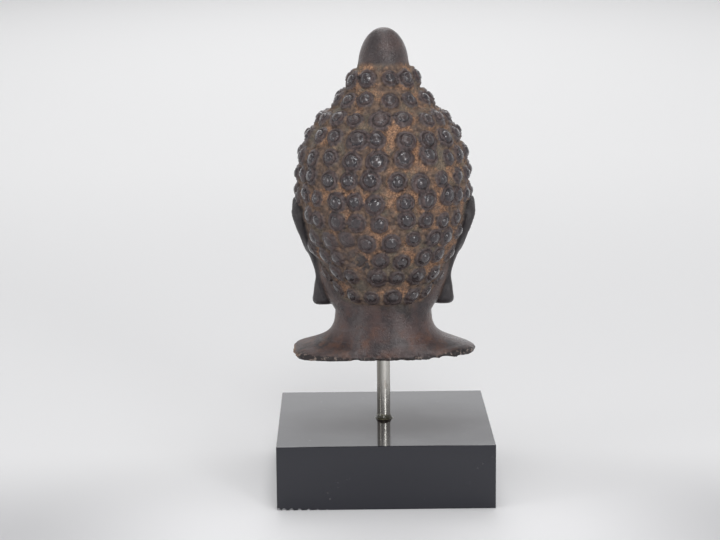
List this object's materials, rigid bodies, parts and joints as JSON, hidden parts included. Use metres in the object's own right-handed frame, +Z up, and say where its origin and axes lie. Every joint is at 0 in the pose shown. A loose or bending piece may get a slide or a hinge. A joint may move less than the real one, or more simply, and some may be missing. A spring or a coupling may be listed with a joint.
{
  "type": "bronze buddha head on a stand",
  "caption": "Cast bronze head with snail-shell curls, a domed finial and long ears, cut off flat at the neck and held up by a steel rod over a square black plinth.",
  "frame": {"origin": "centre of the plinth's underside", "axes": "+Z up along the rod, the face looks along -Y"},
  "size_m": [0.1, 0.1, 0.2159],
  "materials": {
    "dark_bronze": "blackish brown patina, waxy on the high points, with ochre earth in the hollows",
    "dull_steel": "drawn rod, dulled and lightly streaked",
    "set_adhesive": "dark set adhesive, glossy",
    "black_stone": "polished, with a few small chips along one lower edge"
  },
  "bodies": {
    "root": {"buddha_head": "dark_bronze", "support_rod": "dull_steel", "glue_bead": "set_adhesive", "plinth": "black_stone"}
  },
  "joints": []
}
